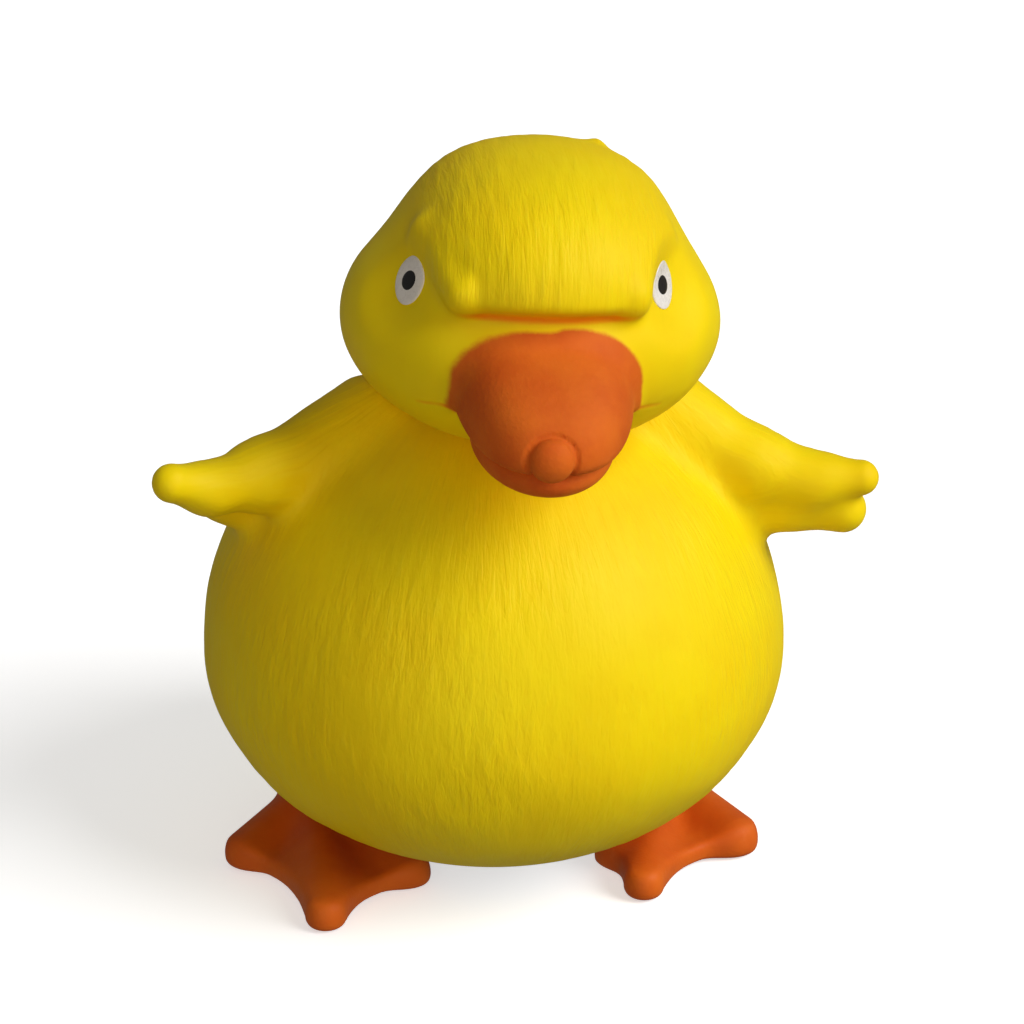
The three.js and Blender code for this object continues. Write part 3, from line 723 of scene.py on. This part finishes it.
def body_inside(p):
    """The hollow inside the body's wall."""
    return smooth_max(torso(p) + WALL, BELLY_FLAT + WALL - p[..., 2], INNER_BLEND)


def hollowed(points, faces, inner_points, inner_faces):
    """One closed surface inside another, turned over so that the room inside it is empty."""
    turned = inner_faces[:, ::-1] + len(points)
    return np.vstack([points, inner_points]), np.vstack([faces, turned])


def shell_cutters():
    """The body's openings for the chamber, its screws, the neck, the pegs and the vent."""
    throat = (0, AXIS_Y)
    throat_top = BELLY_FLAT + REACH
    cutters = [cylinder("throat", (*throat, 0), (*throat, throat_top), THROAT_HOLE)]
    for i in range(SCREWS["count"]):
        angle = 2 * math.pi * (i + 0.5) / SCREWS["count"] + math.pi / 2
        x = SCREWS["circle"] * math.cos(angle)
        y = AXIS_Y + SCREWS["circle"] * math.sin(angle)
        start, end = (x, y, SCREWS["bottom"]), (x, y, SCREWS["top"])
        cutters.append(cylinder("screw_hole", start, end, SCREWS["hole"], sides=24))
    start = (NECK["x"], NECK["y"], NECK["bottom"])
    end = (NECK["x"], NECK["y"], NECK["top"] + NECK["margin"])
    cutters.append(cylinder("neck", start, end, NECK["radius"] + GAP))
    for side in (1, -1):
        place, out = on_torso(side * PEG["x"], PEG["y"])
        start, end = place - REACH * out, place + REACH * out
        cutters.append(cylinder("peg_hole", start, end, PEG["radius"] + GAP))
    place, out = vent_exit()
    cutters.append(cylinder("vent_hole", place - REACH * out, place + REACH * out, VENT["hole"]))
    return cutters


def on_torso(x, y):
    """Point and outward direction on the torso's underside, at a place seen from above."""
    across, along = x / TORSO["width"], (y - TORSO["y"]) / TORSO["depth"]
    drop = math.sqrt(1 - across**2 - along**2)
    place = np.array([x, y, TORSO["z"] - TORSO["below"] * drop])
    out = np.array([across / TORSO["width"], along / TORSO["depth"], -drop / TORSO["below"]])
    return place, out / np.linalg.norm(out)


def vent_exit():
    """Point and outward direction where the vent leaves the duckling's back."""
    rise = VENT["height"]
    run = math.sqrt(1 - rise**2)
    y = TORSO["y"] + TORSO["depth"] * run
    place = np.array([0, y, TORSO["z"] + TORSO["above"] * rise])
    out = np.array([0, run / TORSO["depth"], rise / TORSO["above"]])
    return place, out / np.linalg.norm(out)


def body_shell():
    """The body with its openings cut and its finish on."""
    skin = body_skin()
    cut_away(skin, shell_cutters())
    points = places_of(skin)
    store(skin, "strands", body_strands(points, BODY_FINE))
    store(skin, "relief", body_relief(points))
    store(skin, "crease_shade", np.zeros(len(points)))
    skin.data.materials.clear()
    skin.data.materials.append(vinyl_skin("yellow_vinyl_body"))
    return skin


def crease_shade_share(q):
    """Where the painted orange-brown shade lies, in the fold under the forehead and in the mouth.
    """
    m = mirrored(q)
    height = q[:, 2] - BROW["z"] + BROW_CREASE["below"]
    forward = np.minimum(q[:, 1] - BROW_CREASE["front"], 0) * BROW_CREASE["fall"]
    near = ramp(np.hypot(height, forward), *BROW_CREASE["width"])
    brow = near * ramp(m[:, 0], *BROW_CREASE["ends"]) * ramp(q[:, 1], *BROW_CREASE["back"])
    return np.maximum(brow, ramp(rod(m, **MOUTH), *MOUTH_CREASE))


def head_inside(p):
    """The hollow inside the head's wall."""
    return smooth_max(head_field(p) + HEAD_WALL, HEAD_WALL - torso(p), INNER_BLEND)


def painted_share(q):
    """1 on the bill and 0 on the face, where the paint hides the strands."""
    return ramp(face_field(q) - bill_field(q), *PAINT["hides"])


def paint_edge(q):
    """Distance inside the paint's edge, in widths of the edge.

    The edge is softer on the duckling's right, and higher in front and on its left.
    """
    soft = PAINT["soft"] + PAINT["softer"] * ramp(-q[:, 0], *PAINT["right"])
    higher = PAINT["higher"] * ramp(q[:, 2], *PAINT["upper"])
    further = PAINT["further"] * ramp(q[:, 0], *PAINT["left"])
    reach = PAINT["reach"] + higher + further
    return (face_field(q) - bill_field(q) + reach) / soft


def head_skin():
    """The head with its neck, hollow, seated on the torso, and painted orange on the bill."""

    def seated(p):
        d = smooth_max(head_field(p), GAP - torso(p), SEAT_BLEND["torso"])
        for side in (1, -1):
            d = np.maximum(d, GAP - wing(p, side))
        across = np.hypot(p[..., 0] - NECK["x"], p[..., 1] - NECK["y"])
        ends = np.maximum(NECK["bottom"] - p[..., 2], p[..., 2] - NECK["top"])
        neck = smooth_max(across - NECK["radius"], ends, SEAT_BLEND["rim"])
        return smooth_min(d, neck, SEAT_BLEND["neck"])

    points, faces = surface(seated, *HEAD_ROOM, HEAD_STEP)
    q = in_head(points)
    out = outward(seated, points)
    broad = noise_at(head_strands(q, HEAD_STRANDS))
    lines = broad * HEAD_STRANDS["height"] * head_relief(q)
    dents = noise_at(q / HEAD_DENTS["size"]) * HEAD_DENTS["height"]
    points = points + out * ((lines + dents) * (1 - painted_share(q)))[:, None]
    inner = surface(head_inside, *HEAD_INNER_ROOM, HEAD_INNER_STEP)
    skin = make_object("head_skin", *hollowed(points, faces, *inner))
    start = (NECK["x"], NECK["y"], NECK["bottom"] - NECK["margin"])
    end = (NECK["x"], NECK["y"], NECK["top"])
    cut_away(skin, [cylinder("bore", start, end, NECK["bore"])])
    q = in_head(places_of(skin))
    store(skin, "strands", head_strands(q, HEAD_FINE))
    store(skin, "relief", head_relief(q) * (1 - painted_share(q)))
    store(skin, "crease_shade", crease_shade_share(q) * CREASE_SHADE_SHARE)
    store(skin, "paint", paint_edge(q))
    skin.data.materials.clear()
    skin.data.materials.append(vinyl_skin("yellow_vinyl_head", painted=True))
    return skin


def foot_skin(name):
    """One foot, with its ankle up to the torso's skin."""
    spec = FEET[name]

    def field(p):
        return foot_field(p, **spec)

    (near, *low), (far, *high) = FOOT_ROOM
    left, right = sorted((spec["side"] * near, spec["side"] * far))
    points, faces = surface(field, (left, *low), (right, *high), FOOT_STEP)
    return make_object(f"{name}_skin", points, faces)


def seat_of(place, facing):
    """Where lines along facing meet the head's surface."""
    for _ in range(40):
        place = place - facing * head_field(place)[:, None] * 0.8
    return place


def button(name, place, facing, radii, rise, base):
    """An oval button whose crowned face follows the head, between base and rise above it."""
    steps, sides = BUTTON["rings"], BUTTON["sides"]
    up = np.array([0, 0, 1]) - facing * facing[2]
    up /= np.linalg.norm(up)
    aside = np.cross(up, facing)
    lean = math.radians(EYE["lean"]) * np.sign(facing[0])
    leaning = up * math.cos(lean) + aside * math.sin(lean)
    aside = aside * math.cos(lean) - up * math.sin(lean)
    up = leaning
    shares = np.sin(np.arange(1, steps + 1) / steps * math.pi / 2)
    angles = np.arange(sides) * 2 * math.pi / sides
    across = np.outer(shares, np.cos(angles)).ravel() * radii[0]
    above = np.outer(shares, np.sin(angles)).ravel() * radii[1]
    flat = place + np.outer(across, aside) + np.outer(above, up)
    seats = seat_of(np.vstack([place, flat]) + facing * BUTTON["start"], facing)
    crowning = np.sqrt(np.maximum(1 - np.repeat(shares, sides) ** BUTTON["power"], 0))
    edge = BUTTON["edge"]
    tops = seats + np.outer(np.append(1, crowning) * (rise - edge) + edge, facing)
    points = np.vstack([tops, seats + facing * base])
    under = len(tops)
    faces = []
    for j in range(sides):
        k = (j + 1) % sides
        faces.append([0, 1 + j, 1 + k])
        faces.append([under, under + 1 + k, under + 1 + j])
        for i in range(steps - 1):
            a, b = 1 + i * sides, 1 + (i + 1) * sides
            faces.append([a + j, b + j, b + k, a + k])
            faces.append([under + a + j, under + a + k, under + b + k, under + b + j])
        rim = 1 + (steps - 1) * sides
        faces.append([rim + j, under + rim + j, under + rim + k, rim + k])
    return make_object(name, points, faces)


body = body_shell()
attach(body, "float")
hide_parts("body_shell")

head = head_skin()
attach(head, "float")
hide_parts("head_shell")

feet_finish = orange_vinyl()
for foot_name in FEET:
    foot = foot_skin(foot_name)
    foot.data.materials.append(feet_finish)
    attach(foot, "float")
    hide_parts(foot_name)

eye_finish = plastic("eye_white", colour(238, 234, 228), colour(226, 221, 212), 0.28)
pupil_finish = plastic("pupil_black", colour(16, 13, 12), colour(22, 17, 13), 0.45)
for side_name, side in (("left", 1), ("right", -1)):
    place, facing = eye_frame(side)
    white = button(f"eye_{side_name}_button", place, facing, EYE["radii"], EYE["rise"], -1)
    white.data.materials.append(eye_finish)
    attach(white, "float")
    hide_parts(f"eye_{side_name}")
    black = button(f"pupil_{side_name}_button", place, facing, PUPIL["radii"], PUPIL["rise"], 0.3)
    black.data.materials.append(pupil_finish)
    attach(black, "float")
    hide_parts(f"pupil_{side_name}")

# ---- carried-over parts ----
SHARP_ANGLE = math.radians(30)
WELD_DISTANCE = 0.01 * MM
FINISHES = {
    "white_plastic": plastic("white_plastic", colour(232, 234, 232), colour(222, 226, 225), 0.42),
    "grey_plastic": plastic("grey_plastic", colour(150, 157, 162), colour(138, 146, 151), 0.48),
    "rubber": plastic("rubber", colour(38, 39, 41), colour(50, 51, 53), 0.78),
    "silicone": plastic("silicone", colour(205, 209, 204), colour(192, 197, 192), 0.35),
    "steel": plastic("steel", colour(176, 180, 183), colour(160, 165, 168), 0.3, metallic=1.0),
}


def smooth_shading():
    """Geometry nodes that shade faces smooth, except across the sharper edges."""
    tree = bpy.data.node_groups.new("smooth_shading", "GeometryNodeTree")
    tree.interface.new_socket("Geometry", in_out="INPUT", socket_type="NodeSocketGeometry")
    tree.interface.new_socket("Geometry", in_out="OUTPUT", socket_type="NodeSocketGeometry")
    start = tree.nodes.new("NodeGroupInput").outputs[0]
    smooth = {"Geometry": start, "Shade Smooth": True}
    faces = add(tree, "GeometryNodeSetShadeSmooth", smooth, domain="FACE")
    angle = tree.nodes.new("GeometryNodeInputMeshEdgeAngle").outputs["Unsigned Angle"]
    gentle = add(tree, "FunctionNodeCompare", {0: angle, 1: SHARP_ANGLE}, operation="LESS_THAN")
    smooth = {"Geometry": faces.outputs[0], "Shade Smooth": gentle.outputs[0]}
    edges = add(tree, "GeometryNodeSetShadeSmooth", smooth, domain="EDGE")
    tree.links.new(edges.outputs[0], tree.nodes.new("NodeGroupOutput").inputs[0])
    return tree


shading = smooth_shading()
slots = {piece["node"]: piece["material_slot"] for piece in frame["record"]["subparts"]}
for node_name, node in frame["nodes"].items():
    finish = FINISHES.get(slots[node_name])
    if finish:
        node.data.materials.clear()
        node.data.materials.append(finish)
        weld = node.modifiers.new("weld", "WELD")
        weld.merge_threshold = WELD_DISTANCE
        node.modifiers.new("smooth_shading", "NODES").node_group = shading

# ---- stage ----
TARGET = Vector(row((6, 0, 128)))
VIEW_AZIMUTH = -8
VIEW_HEIGHT = 22
DISTANCE = 1.0
LENS = 101.07


def towards(azimuth, elevation):
    """Unit direction from the object to a viewer; azimuth 0 is at -Y and 90 at +X."""
    a, e = math.radians(azimuth), math.radians(elevation)
    return Vector((math.sin(a) * math.cos(e), -math.cos(a) * math.cos(e), math.sin(e)))


def add_camera():
    """The camera, above and a little to the duckling's right, sharp at every distance."""
    data = bpy.data.cameras.new("camera")
    data.lens = LENS
    data.sensor_width = 36
    camera = bpy.data.objects.new("camera", data)
    bpy.context.scene.collection.objects.link(camera)
    back = towards(VIEW_AZIMUTH, VIEW_HEIGHT)
    camera.location = TARGET + back * DISTANCE
    camera.rotation_euler = (-back).to_track_quat("-Z", "Y").to_euler()
    data.clip_start, data.clip_end = 0.01, 50
    bpy.context.scene.camera = camera


def add_lamp(name, azimuth, elevation, strength, softness, tint=(1, 1, 1)):
    """A far, soft light; softness is how many degrees of the sky it fills."""
    data = bpy.data.lights.new(name, "SUN")
    data.energy = strength
    data.angle = math.radians(softness)
    data.color = tint
    lamp = bpy.data.objects.new(name, data)
    bpy.context.scene.collection.objects.link(lamp)
    away = towards(azimuth, elevation)
    lamp.rotation_euler = (-away).to_track_quat("-Z", "Y").to_euler()


def add_floor():
    """A wide pale floor just under the soles, which throws no light back up at the duckling."""
    corner = 30
    level = -0.4 * MM
    mesh = bpy.data.meshes.new("floor")
    corners = [(-corner, -corner), (corner, -corner), (corner, corner), (-corner, corner)]
    mesh.from_pydata([(x, y, level) for x, y in corners], [], [(0, 1, 2, 3)])
    made = bpy.data.objects.new("floor", mesh)
    bpy.context.scene.collection.objects.link(made)
    material, _, shader = new_material("pale_floor")
    shader.inputs["Base Color"].default_value = (0.95, 0.95, 0.95, 1)
    shader.inputs["Roughness"].default_value = 0.9
    shader.inputs["Specular IOR Level"].default_value = 0.1
    shader.inputs["Emission Color"].default_value = (1, 1, 1, 1)
    shader.inputs["Emission Strength"].default_value = 0.55
    mesh.materials.append(material)
    made.visible_diffuse = False
    made.visible_glossy = False
    made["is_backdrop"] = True


def add_world(strength):
    """Even, dim light from all round."""
    world = bpy.data.worlds.new("studio")
    world.use_nodes = True
    sky = world.node_tree.nodes["Background"]
    sky.inputs["Color"].default_value = (1, 1, 1, 1)
    sky.inputs["Strength"].default_value = strength
    bpy.context.scene.world = world


add_camera()
add_floor()
add_world(strength=0.18)
add_lamp("key", azimuth=58, elevation=37, strength=2.45, softness=40)
add_lamp("fill", azimuth=-14, elevation=-4, strength=1.25, softness=60, tint=(1, 0.84, 0.64))
bpy.context.scene.view_settings.view_transform = "Standard"

boxes = {"cad": CAD_BOX, "visual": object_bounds()}
{key: [list(corner) for corner in box] for key, box in boxes.items()}
